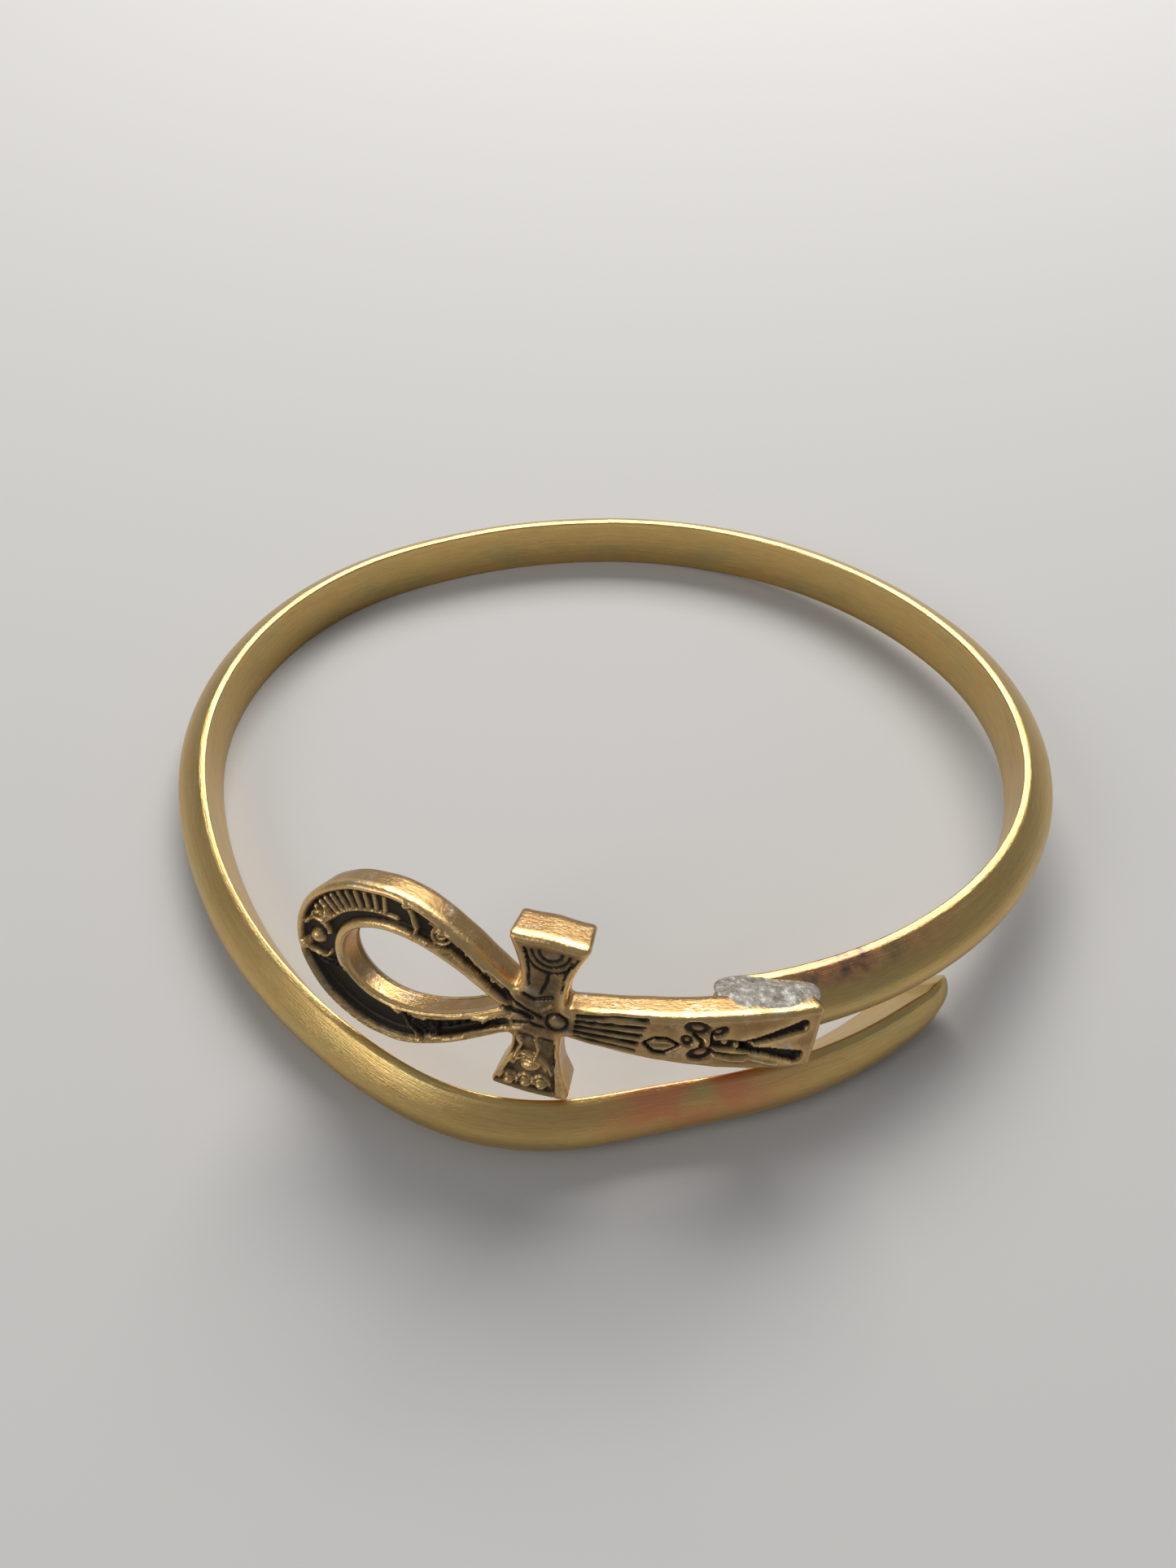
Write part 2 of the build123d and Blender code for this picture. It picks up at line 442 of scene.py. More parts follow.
def pit(state, line, startWidth, endWidth, depth):
    # a drop-shaped hollow that widens along its line
    line = np.asarray(line, float)
    steps = np.linspace(0, 1, 14)
    at = np.stack([np.interp(steps, np.linspace(0, 1, len(line)), line[:, k]) for k in (0, 1)], 1)
    cut = np.zeros(len(state["points"]))
    for share, p in zip(steps, at):
        radius = (startWidth + (endWidth - startWidth) * share ** 1.5) / 2
        d = np.linalg.norm(state["points"] - p, axis=1) / radius
        cut = np.maximum(cut, smoothStep(-d, -1.0, -0.62))
    state["height"] -= depth * cut


def carveLoop(state, rimOut, rimIn):
    a = ankh
    u = state["points"][:, 0]
    # the sunk channel: it leaves out the plain join between the two motif panels
    inLoop = smoothStep(u, 18.9, 19.7)
    outWall = smoothStep(rimOut, a["outerRim"] * 0.7, a["outerRim"] + 0.25)
    inWall = smoothStep(rimIn, a["innerRim"] * 0.7, a["innerRim"] + 0.25)
    floor = inLoop * outWall * inWall
    state["height"] -= a["floorDepth"] * floor
    state["floor"] = np.maximum(state["floor"], floor)
    # ribs fanned along the upper left of the channel
    for k in range(10):
        t = math.radians(90 - (24 + 6.6 * k))
        outer = (a["loopWidest"] + 6.35 * math.sin(t), 4.95 * math.cos(t))
        inner = (a["loopWidest"] + 5.2 * math.sin(t), 3.85 * math.cos(t))
        stroke(state, [outer, inner], 0.36, 0.3)
    stroke(state, arcLine((a["loopWidest"], 0), (5.0, 3.7), 28, 94), 0.32, 0.26)
    # winged boss at the end of the loop
    dome(state, (32.95, -0.2), (0.62, 0.5), 10, 0.5)
    stroke(state, arcLine((32.9, 0.45), (0.95, 0.75), 5, 175), 0.36, 0.42)
    stroke(state, arcLine((32.7, 1.25), (0.72, 0.6), -15, 160), 0.32, 0.36)
    dome(state, (32.15, 1.85), (0.5, 0.32), 65, 0.4)
    stroke(state, arcLine((32.75, -0.85), (0.95, 0.6), 185, 355), 0.36, 0.46)
    stroke(state, arcLine((32.45, -1.75), (0.85, 0.6), 195, 350), 0.32, 0.38)
    dome(state, (33.75, -1.05), (0.34, 0.5), 20, 0.36)
    # thin walls that part the channel
    stroke(state, [(26.5, 5.2), (26.1, 4.4), (25.75, 3.6), (25.8, 2.8)], 0.4, 0.44)
    stroke(state, [(26.85, -2.8), (26.4, -3.4), (26.0, -4.2), (24.7, -5.0)], 0.46, 0.5)
    # scroll and leaves on the upper branch
    stroke(state, spiralLine((24.15, 3.75), 0.72, 1.6, 200), 0.28, 0.4)
    stroke(state, [(24.9, 4.35), (23.4, 4.05), (22.2, 3.3), (20.9, 2.2), (19.9, 1.35)], 0.32, 0.36)
    stroke(state, [(24.9, 3.0), (23.4, 2.75), (22.0, 2.05), (20.7, 1.25)], 0.28, 0.32)
    for k in range(5):
        dome(state, (23.0 - 0.62 * k, 3.42 - 0.44 * k), (0.34, 0.18), 75, 0.32)
    # framed scroll on the lower branch
    frameLine = [(26.05, -3.35), (24.2, -2.7), (22.2, -1.8), (20.2, -0.95), (19.1, -0.45)]
    stroke(state, frameLine, 0.3, 0.36)
    lowerFrame = [(25.75, -4.0), (24.6, -4.45), (22.9, -3.9), (21.1, -2.6), (19.6, -1.5)]
    stroke(state, lowerFrame, 0.3, 0.36)
    stroke(state, spiralLine((24.5, -3.58), 0.66, 1.8, 20), 0.26, 0.42)
    for k in range(6):
        dome(state, (23.35 - 0.56 * k, -3.2 + 0.38 * k), (0.3, 0.22), 35 + 40 * k, 0.32)


def carveCross(state):
    u, v = state["points"].T
    # lower arm: a sunk panel beside a plain ridge
    ridge = 16.15 + 0.115 * (v + 1.5)
    panel = smoothStep(-v, 1.3, 1.9) * smoothStep(u - ridge, 0.0, 0.22)
    panel = panel * smoothStep(state["edge"], 0.05, 0.2)
    state["height"] -= 0.42 * panel
    state["floor"] = np.maximum(state["floor"], panel)
    stroke(state, [(18.7, -1.5), (18.3, -2.5), (18.55, -3.3), (19.15, -4.3), (19.6, -5.3)], 0.34, 0.46)
    stroke(state, arcLine((17.75, -4.75), (1.7, 1.6), 20, 160), 0.3, 0.4)
    dome(state, (17.55, -3.95), (0.72, 0.42), -8, 0.46)
    stroke(state, arcLine((17.6, -4.3), (1.1, 0.85), 10, 170), 0.22, 0.3)
    for spot in ((18.75, -5.3), (17.7, -5.25), (16.7, -5.15)):
        dome(state, spot, (0.42, 0.32), 0, 0.46)
        stroke(state, arcLine(spot, (0.55, 0.5), 0, 180), 0.18, 0.28)
    stroke(state, [(17.5, -1.9), (17.2, -2.6), (17.3, -3.3)], 0.28, 0.36)
    # upper arm: shallow cup lines and a worn hollow
    for k, reach in enumerate((1.6, 1.15, 0.7)):
        cup = arcLine((17.2, 5.2), (reach, reach * 1.05), 186, 354)
        stroke(state, cup, 0.26, -0.2 + 0.02 * k)
    stroke(state, [(17.2, 3.5), (17.25, 2.7), (17.5, 1.9)], 0.24, -0.2)
    stroke(state, [(18.7, 4.9), (18.45, 3.6), (18.3, 2.4)], 0.26, -0.24)
    stroke(state, [(15.9, 4.7), (16.2, 3.6), (16.3, 2.4)], 0.24, -0.2)
    dome(state, (17.3, 2.6), (1.3, 0.9), 90, -0.12, 1.0)
    # strands of the loop crossing into the arms, and the boss beside them
    stroke(state, [(19.3, 1.3), (18.2, 0.8), (17.3, 0.6), (16.7, 1.2)], 0.34, 0.16)
    stroke(state, [(19.7, 0.05), (18.6, 0.1), (17.9, -0.1)], 0.55, -0.36)
    stroke(state, [(19.1, -1.3), (18.3, -1.0), (17.5, -1.2), (17.2, -1.9)], 0.34, 0.18)
    stroke(state, [(19.1, 0.8), (18.1, 0.35), (17.2, 0.1)], 0.28, -0.3)
    stroke(state, [(18.9, -0.75), (18.0, -0.5), (17.1, -0.6)], 0.28, -0.3)
    stroke(state, [(18.6, 1.6), (17.8, 1.35), (16.8, 1.75)], 0.3, -0.26)
    dome(state, (16.3, 0.05), (0.5, 0.46), 0, 0.14)
    stroke(state, arcLine((16.3, 0.05), (0.64, 0.6), 0, 360, 24), 0.2, -0.22)


def carveStem(state):
    # fan of cut lines
    for k in range(5):
        start = (15.15, 0.8 - 0.39 * k)
        end = (11.0 + 0.14 * k, 1.34 - 0.6 * k)
        middle = ((start[0] + end[0]) / 2, (start[1] + end[1]) / 2 + 0.04)
        stroke(state, [start, middle, end], 0.34, -0.34)
    # leaf
    leafTop = [(11.0, -0.35), (10.4, 0.12), (9.7, 0.15), (8.85, -0.3)]
    leafLow = [(11.0, -0.35), (10.4, -0.9), (9.7, -0.93), (8.85, -0.3)]
    for side in (leafTop, leafLow):
        stroke(state, side, 0.3, -0.38)
    stroke(state, [(10.7, -0.38), (9.4, -0.36)], 0.16, -0.18)
    # bow of four petals, cut as hollows with a raised knot
    for centre, size, turn in (((7.95, 1.05), (0.72, 0.44), 12), ((7.5, -0.85), (0.7, 0.42), -12),
                               ((8.45, 0.1), (0.42, 0.3), 50), ((6.6, 0.85), (0.5, 0.32), -30)):
        dome(state, centre, (size[0] * 1.25, size[1] * 1.25), turn, -0.34, 0.5)
        dome(state, centre, (size[0] * 0.7, size[1] * 0.7), turn, 0.24, 0.8)
    stroke(state, [(8.1, 0.5), (7.5, 0.12), (7.55, -0.35)], 0.36, -0.34)
    stroke(state, [(7.0, 0.5), (6.9, 0.0), (7.05, -0.4)], 0.3, -0.3)
    dome(state, (7.3, 0.12), (0.26, 0.3), 0, 0.3)
    # channel with beads, opening into two drops at the foot
    stroke(state, [(6.8, -0.15), (5.9, -0.1), (4.7, -0.2)], 0.8, -0.42, 1)
    for bead in ((6.15, 0.0), (5.35, -0.2)):
        dome(state, bead, (0.3, 0.22), 20, 0.38)
    pit(state, [(4.95, 0.0), (3.4, 0.42), (1.35, 1.12)], 0.42, 1.05, 0.45)
    pit(state, [(5.1, -0.42), (3.4, -0.66), (1.25, -1.28)], 0.42, 1.0, 0.45)
    stroke(state, [(6.6, -1.0), (5.6, -1.25), (4.75, -1.3)], 0.34, 0.14)
    stroke(state, [(4.3, -1.2), (3.2, -1.6), (2.5, -1.75)], 0.34, 0.14)
    stroke(state, [(6.9, -0.7), (5.6, -0.92), (4.5, -0.92)], 0.24, -0.26)


def onFace(u, v, n):
    # from the flat drawing to the bent, leaning ankh (n is out of its face)
    a = ankh
    stem = np.minimum(u, a["cross"]) / a["stemBend"]
    turn = stem + np.maximum(u - a["cross"], 0) / a["loopBend"]
    x = -a["stemBend"] * np.sin(stem) - a["loopBend"] * (np.sin(turn) - np.sin(stem))
    z = a["stemBend"] * (np.cos(stem) - 1) + a["loopBend"] * (np.cos(turn) - np.cos(stem))
    x, z = x - n * np.sin(turn), z + n * np.cos(turn)
    x, y, z = x, -z, v
    c, s = math.cos(math.radians(a["rise"])), math.sin(math.radians(a["rise"]))
    x, z = c * x + s * z, -s * x + c * z
    c, s = math.cos(math.radians(a["leanBack"])), math.sin(math.radians(a["leanBack"]))
    y, z = c * y + s * z, -s * y + c * z
    c, s = math.cos(math.radians(a["yaw"])), math.sin(math.radians(a["yaw"]))
    x, y = c * x - s * y, s * x + c * y
    return np.stack([x, y, z], 1) * a["shrink"] + np.array(a["foot"])


def triangulate(points, edges):
    result = delaunay_2d_cdt([Vector(p) for p in points], edges, [], 0, 1e-6)
    return np.array([tuple(v) for v in result[0]]), [tuple(f) for f in result[2]]


def faceMesh(outline, eye, rings, spacing):
    # boundary points first, then rings that follow the edges, then an even field
    count, eyeCount = len(outline), len(eye)
    edges = [(i, (i + 1) % count) for i in range(count)]
    edges += [(count + i, count + (i + 1) % eyeCount) for i in range(eyeCount)]
    points = [outline, eye]
    for loop in (outline, eye):
        sign = 1 if area(loop) < 0 else -1
        sign = sign if loop is outline else -sign
        for depth in rings:
            ring = loop + inwardNormals(loop, sign) * depth
            gap = np.minimum(distanceTo(ring, outline, True), distanceTo(ring, eye, True))
            good = (gap > depth * 0.93) & inside(ring, outline) & ~inside(ring, eye)
            points.append(ring[good])
    low, high = outline.min(0), outline.max(0)
    rows = np.arange(low[1], high[1], spacing * 0.866)
    field = []
    for i, y in enumerate(rows):
        x = np.arange(low[0] + (i % 2) * spacing / 2, high[0], spacing)
        field.append(np.stack([x, np.full(len(x), y)], 1))
    field = np.concatenate(field)
    gap = np.minimum(distanceTo(field, outline, True), distanceTo(field, eye, True))
    field = field[(gap > rings[-1] + spacing * 0.6) & inside(field, outline) & ~inside(field, eye)]
    points = np.concatenate(points + [field])
    verts, faces = triangulate(points, edges)
    middles = np.array([verts[list(f)].mean(0) for f in faces])
    good = inside(middles, outline) & ~inside(middles, eye)
    return verts, [f for f, g in zip(faces, good) if g]


def blurred(values, faces, passes):
    pairs = np.array([(f[i], f[(i + 1) % 3]) for f in faces for i in range(3)])
    a, b = pairs.T
    total = np.bincount(a, minlength=len(values)) + np.bincount(b, minlength=len(values))
    out = values.copy()
    for turn in range(passes):
        summed = np.bincount(a, out[b], len(out)) + np.bincount(b, out[a], len(out))
        out = 0.5 * out + 0.5 * summed / np.maximum(total, 1)
    return out


def armEndMask(u, v):
    # 1 at the outer ends of the two cross arms
    return smoothStep(np.abs(v), 3.2, 5.6) * smoothStep(u, 14, 15) * smoothStep(-u, -21, -20)


def filledUp(values, count, fill):
    # one value for each point, with the same fill for those behind the face
    return np.concatenate([values, np.full(count - len(values), fill)])


def buildAnkh():
    a = ankh
    outline = evenly(ankhOutline(), a["spacing"])
    eye = evenly(ankhEye(), a["spacing"])
    wobble = unevenness(np.c_[outline, np.zeros(len(outline))], 1.6, 5.0) * 0.05
    outline = outline + inwardNormals(outline, 1 if area(outline) < 0 else -1) * wobble[:, None]
    points, faces = faceMesh(outline, eye, (0.06, 0.14, 0.24, 0.36, 0.5), a["spacing"])
    rimOut, rimIn = distanceTo(points, outline, True), distanceTo(points, eye, True)
    edge = np.minimum(rimOut, rimIn)
    state = {"points": points, "edge": edge}
    state["height"] = np.zeros(len(points))
    state["floor"] = np.zeros(len(points))
    carveLoop(state, rimOut, rimIn)
    carveCross(state)
    carveStem(state)
    # nothing raised may stand over the edge
    lowered = state["height"] * smoothStep(edge, 0.15, 0.5)
    state["height"] = np.where(state["height"] > 0, lowered, state["height"])
    crossing = (state["height"] > -0.3) * (1 - smoothStep(edge, 0.3, 0.6))
    state["height"] = state["height"] * (1 - crossing * (state["floor"] > 0.3))
    relief = state["height"]
    broad = blurred(relief, faces, 60)
    # rounded edges, rounder on the outside of the casting
    for gap, radius in ((rimOut, a["edgeRadius"]), (rimIn, 0.22)):
        inward = np.clip(gap / radius, 0, 1)
        relief = relief - radius * (1 - np.sqrt(1 - (1 - inward) ** 2))
    u, v = points.T
    relief = relief + unevenness(np.c_[points, np.zeros(len(points))], 0.9, 2.0) * 0.02
    relief = relief + a["armSwell"][0] * armEndMask(u, v)
    raised = np.clip((state["height"] + a["floorDepth"] * state["floor"]) / 0.2, 0, 1)
    cavity = np.clip((broad - state["height"]) / 0.15, 0, 1)
    hollow = state["floor"] * (1 - 0.85 * raised)
    wear = np.clip((state["height"] - broad) / 0.16, 0, 1)
    rim = 1 - smoothStep(edge, 0.2, 0.55)
    # painted shade: the flat of the face, away from its edges and the channel floors, is marked to be
    # darkened, most round the cross
    faceShade = smoothStep(edge, 0.25, 0.8) * (1 - state["floor"]) * (0.4 + 0.6 * bell(u, 16.2, 3.6))
    wear = np.maximum(wear * (1 - 0.1 * state["floor"]), 0.8 * raised * state["floor"])

    count = len(outline) + len(eye)
    loops = [list(range(len(outline))), list(range(len(outline), count))]
    backPoints, backFaces = faceMesh(outline, eye, (0.12, 0.3), 0.6)
    backGap = np.minimum(distanceTo(backPoints, outline, True), distanceTo(backPoints, eye, True))
    backDepth = -a["thickness"] - a["armSwell"][1] * armEndMask(*backPoints.T)
    inward = np.clip(backGap / 0.3, 0, 1)
    backDepth = backDepth + 0.3 * (1 - np.sqrt(1 - (1 - inward) ** 2))

    flat = [np.c_[points, relief]]
    wall = 5
    boundary = np.concatenate([outline, eye])
    topEdge, lowEdge = relief[:count], backDepth[:count]
    for k in range(1, wall):
        share = k / wall
        flat.append(np.c_[boundary, topEdge * (1 - share) + lowEdge * share])
    flat.append(np.c_[backPoints, backDepth])
    starts = np.cumsum([0] + [len(f) for f in flat])
    flat = np.concatenate(flat)
    allFaces = []
    frontUp = area(points[list(faces[0])]) > 0
    for f in faces:
        allFaces.append(f[::-1] if frontUp else f)
    backUp = area(backPoints[list(backFaces[0])]) > 0
    for f in backFaces:
        g = f if backUp else f[::-1]
        allFaces.append(tuple(i + int(starts[-2]) for i in g))
    for loop in loops:
        forward = area(flat[loop][:, :2]) > 0
        for k in range(wall):
            for i, j in zip(loop, loop[1:] + loop[:1]):
                quad = (starts[k] + i, starts[k] + j, starts[k + 1] + j, starts[k + 1] + i)
                quad = tuple(int(q) for q in quad)
                outer = forward if loop is loops[0] else not forward
                allFaces.append(quad if outer == (loop is loops[0]) else quad[::-1])
    total = len(flat)
    darkening = np.maximum(hollow, 1.15 * cavity * (1 - 0.85 * state["floor"] * raised))
    attributes = {
        "castSpace": flat,
        "patina": filledUp(darkening, total, 0.05),
        "faceShade": filledUp(faceShade, total, 0.0),
        "wear": filledUp(np.maximum(wear, rim * (1 - cavity)), total, 0.3),
    }
    return makeMesh("ankhCasting", onFace(*flat.T), allFaces, attributes)


ankhPiece = buildAnkh()
print("ankh cast:", len(ankhPiece.data.vertices), "points")

# ---- soft solder, a lumpy pad over the foot and the end of the wire

solder = {
    "length": 7.0,
    "start": -0.5,
    "front": -0.35,
    "back": -4.4,
    "squareness": 3.2,        # 2 is an oval, more is nearer a rectangle
    "crown": 0.14,            # height in the middle
    "edgeDip": 0.12,
    "lump": 0.13,             # height of the lumps, then their sizes and shares
    "lumpSizes": ((0.75, 1, 0.6), (0.33, 4, 0.35)),
    "sunk": (0.2, 0.9),       # depth under the metal at the edge, and more in the middle
    "rings": 26,
    "spokes": 72,
}


def solderBase(u, n):
    # height of the metal underneath, along the ankh's up direction
    onAnkh = stemHalf(np.clip(u, 0, 9))
    return onAnkh + (1.75 - onAnkh) * smoothStep(-n, 2.1, 3.6)


def buildSolder():
    s = solder
    verts, space = [], []
    middleU, middleN = s["start"] + s["length"] / 2, (s["front"] + s["back"]) / 2
    halfU, halfN = s["length"] / 2, (s["front"] - s["back"]) / 2
    for layer in (1, -1):
        for i in range(1, s["rings"] + 1):
            r = i / s["rings"] if layer > 0 else 1 - i / s["rings"]
            for j in range(s["spokes"]):
                t = 2 * math.pi * j / s["spokes"]
                c, q = math.cos(t), math.sin(t)
                power = s["squareness"]
                bulge = (abs(c) ** power + abs(q) ** power) ** (-1 / power)
                u, n = middleU + halfU * r * c * bulge, middleN + halfN * r * q * bulge
                lumps = sum(noise.noise(Vector((u, n, seed)) / size) * share
                            for size, seed, share in s["lumpSizes"])
                top = s["crown"] * (1 - r ** 3) + s["lump"] * lumps * (1 - r ** 2) - s["edgeDip"] * r ** 5
                height = top if layer > 0 else -s["sunk"][0] - s["sunk"][1] * (1 - r ** 2)
                verts.append((u, solderBase(u, n) + height, n))
                space.append((u, height, n))
    verts, space = np.array(verts), np.array(space)
    spokes, total = s["spokes"], 2 * s["rings"]
    faces = []
    for i in range(total - 1):
        low, high = i * spokes, (i + 1) * spokes
        for j in range(spokes):
            k = (j + 1) % spokes
            faces.append((low + j, low + k, high + k, high + j))
    faces.append(tuple(range(spokes))[::-1])
    faces.append(tuple((total - 1) * spokes + j for j in range(spokes)))
    return makeMesh("solderJoint", onFace(*verts.T), faces, {"castSpace": space})


solderPiece = buildSolder()
print("solder laid")

# ---- materials


def newGroup(name, inputs, outputs):
    group = bpy.data.node_groups.new(name, "ShaderNodeTree")
    for label, kind, value in inputs:
        socket = group.interface.new_socket(label, in_out="INPUT", socket_type=kind)
        if value is not None:
            socket.default_value = value
    for label, kind in outputs:
        group.interface.new_socket(label, in_out="OUTPUT", socket_type=kind)
    return group, group.nodes.new("NodeGroupInput"), group.nodes.new("NodeGroupOutput")


def node(tree, kind, **values):
    made = tree.nodes.new(kind)
    for key, value in values.items():
        setattr(made, key, value)
    return made


def put(tree, source, target):
    tree.links.new(source, target)


def mathNode(tree, operation, a, b=None, clamp=False):
    made = node(tree, "ShaderNodeMath", operation=operation, use_clamp=clamp)
    for socket, value in zip(made.inputs, (a, b)):
        if value is None:
            continue
        if isinstance(value, (int, float)):
            socket.default_value = value
        else:
            put(tree, value, socket)
    return made.outputs[0]


def noiseNode(tree, vector, scale, detail=4.0, roughness=0.55):
    made = node(tree, "ShaderNodeTexNoise")
    made.inputs["Scale"].default_value = scale
    made.inputs["Detail"].default_value = detail
    made.inputs["Roughness"].default_value = roughness
    put(tree, vector, made.inputs["Vector"])
    return made.outputs["Fac"]


def stretched(tree, vector, scale):
    made = node(tree, "ShaderNodeVectorMath", operation="MULTIPLY")
    put(tree, vector, made.inputs[0])
    made.inputs[1].default_value = scale
    return made.outputs[0]


def ramp(tree, value, stops):
    made = node(tree, "ShaderNodeValToRGB")
    element = made.color_ramp.elements
    while len(element) < len(stops):
        element.new(0.5)
    for e, (place, colour) in zip(element, stops):
        e.position = place
        e.color = (*colour, 1)
    put(tree, value, made.inputs[0])
    return made.outputs[0]


def mixColour(tree, fac, a, b, blend="MIX"):
    made = node(tree, "ShaderNodeMix", data_type="RGBA", blend_type=blend)
    for socket, value in ((made.inputs[0], fac), (made.inputs[6], a), (made.inputs[7], b)):
        if isinstance(value, (int, float)):
            socket.default_value = value
        elif isinstance(value, tuple):
            socket.default_value = (*value, 1)
        else:
            put(tree, value, socket)
    return made.outputs[2]


alloyTints = {"copper": (0.78, 0.36, 0.2), "green": (0.42, 0.46, 0.24)}


def brushedGroup():
    # fine lines drawn along X of the given space, and coarser ones among them
    tree, start, end = newGroup(
        "brushedLines",
        [("Vector", "NodeSocketVector", None), ("Amount", "NodeSocketFloat", 1.0)],
        [("Height", "NodeSocketFloat"), ("Shade", "NodeSocketFloat")],
    )
    fine = noiseNode(tree, stretched(tree, start.outputs["Vector"], (0.5, 9, 9)), 1.6, 3, 0.6)
    coarse = noiseNode(tree, stretched(tree, start.outputs["Vector"], (0.18, 3, 3)), 1.1, 2, 0.5)
    fineShare = mathNode(tree, "MULTIPLY", fine, 0.65)
    coarseShare = mathNode(tree, "MULTIPLY", coarse, 0.35)
    both = mathNode(tree, "ADD", fineShare, coarseShare)
    height = mathNode(tree, "MULTIPLY", both, start.outputs["Amount"])
    put(tree, height, end.inputs["Height"])
    put(tree, both, end.inputs["Shade"])
    return tree


def toneGroup():
    # slow drift of the alloy's colour: gold, a little green, a little copper
    tree, start, end = newGroup(
        "alloyTone",
        [("Vector", "NodeSocketVector", None), ("Base", "NodeSocketColor", (0.8, 0.6, 0.3, 1)),
         ("Copper", "NodeSocketFloat", 0.3), ("Green", "NodeSocketFloat", 0.3)],
        [("Color", "NodeSocketColor"), ("Cloud", "NodeSocketFloat")],
    )
    cloud = noiseNode(tree, stretched(tree, start.outputs["Vector"], (0.5, 1, 1)), 0.35, 4, 0.6)
    warm = ramp(tree, cloud, [(0.55, (0, 0, 0)), (0.8, (1, 1, 1))])
    copper = mathNode(tree, "MULTIPLY", warm, start.outputs["Copper"])
    tinted = mixColour(tree, copper, start.outputs["Base"], alloyTints["copper"])
    patch = noiseNode(tree, stretched(tree, start.outputs["Vector"], (0.3, 0.8, 0.8)), 0.5, 3, 0.5)
    cool = ramp(tree, patch, [(0.5, (0, 0, 0)), (0.75, (1, 1, 1))])
    green = mathNode(tree, "MULTIPLY", cool, start.outputs["Green"])
    tinted = mixColour(tree, green, tinted, alloyTints["green"])
    put(tree, tinted, end.inputs["Color"])
    put(tree, cloud, end.inputs["Cloud"])
    return tree


brushedLines = brushedGroup()
alloyTone = toneGroup()


def newMaterial(name):
    material = bpy.data.materials.new(name)
    material.use_nodes = True
    tree = material.node_tree
    shader = tree.nodes["Principled BSDF"]
    return material, tree, shader


def attribute(tree, name, vector=False):
    made = node(tree, "ShaderNodeAttribute", attribute_name=name)
    return made.outputs["Vector" if vector else "Fac"]


def useGroup(tree, group, **values):
    made = node(tree, "ShaderNodeGroup", node_tree=group)
    for key, value in values.items():
        if isinstance(value, (int, float, tuple)):
            made.inputs[key].default_value = value
        else:
            put(tree, value, made.inputs[key])
    return made


def bumpFrom(tree, shader, height, distance, strength=1.0):
    bump = node(tree, "ShaderNodeBump")
    bump.inputs["Strength"].default_value = strength
    bump.inputs["Distance"].default_value = distance
    put(tree, height, bump.inputs["Height"])
    put(tree, bump.outputs[0], shader.inputs["Normal"])


rawBrass = {
    "base": (0.76, 0.53, 0.205),
    "worn": (0.9, 0.7, 0.36),
    "copper": (0.75, 0.32, 0.15),
    # colour of the painted shade on the lower half of the dome
    "heat": (0.16, 0.13, 0.11),
    "lowerDomeShade": (0.42, 0.33, 0.13),
    "lineDepth": 0.00003,
}


def wireMaterial():
    material, tree, shader = newMaterial("rawBrass")
    space = attribute(tree, "wireSpace", True)
    tone = useGroup(tree, alloyTone, Vector=space, Base=(*rawBrass["base"], 1), Copper=0.35, Green=0.4)
    lines = useGroup(tree, brushedLines, Vector=space, Amount=1.0)
    shade = ramp(tree, lines.outputs["Shade"], [(0.3, (0.78, 0.75, 0.7)), (0.7, (1, 1, 1))])
    colour = mixColour(tree, 1.0, tone.outputs["Color"], shade, "MULTIPLY")
    cloud = tone.outputs["Cloud"]
    fine = noiseNode(tree, space, 0.9, 5, 0.65)
    uneven = mathNode(tree, "MULTIPLY", fine, 1.1)
    # painted shade: the lower half of the dome is mixed towards a darker colour, broken up by noise
    lowerDomeShade = mathNode(tree, "MULTIPLY", attribute(tree, "lowerDomeShade"), uneven, True)
    colour = mixColour(tree, lowerDomeShade, colour, rawBrass["lowerDomeShade"])
    patch = ramp(tree, noiseNode(tree, space, 0.3, 2, 0.4), [(0.3, (0, 0, 0)), (0.5, (1, 1, 1))])
    stain = mathNode(tree, "MULTIPLY", attribute(tree, "copperStain"), patch, True)
    colour = mixColour(tree, stain, colour, rawBrass["copper"])
    edge = ramp(tree, noiseNode(tree, space, 0.9, 4, 0.55), [(0.36, (0, 0, 0)), (0.62, (1, 1, 1))])
    heat = mathNode(tree, "MULTIPLY", attribute(tree, "heatStain"), edge, True)
    colour = mixColour(tree, heat, colour, rawBrass["heat"])
    put(tree, colour, shader.inputs["Base Color"])
    shader.inputs["Metallic"].default_value = 1.0
    rough = ramp(tree, cloud, [(0.3, (0.27,) * 3), (0.75, (0.4,) * 3)])
    put(tree, rough, shader.inputs["Roughness"])
    pores = mathNode(tree, "MULTIPLY", noiseNode(tree, space, 5.0, 3, 0.6), 0.35)
    height = mathNode(tree, "ADD", lines.outputs["Height"], pores)
    bumpFrom(tree, shader, height, rawBrass["lineDepth"])
    return material


castBrass = {
    "base": (0.35, 0.205, 0.085),
    "dark": (0.030, 0.023, 0.016),
    "worn": (0.80, 0.54, 0.235),
    "silver": (0.62, 0.60, 0.54),
    "faceShadeStrength": 0.62,        # painted shade on the flat of the face
    "gritDepth": 0.00003,
}


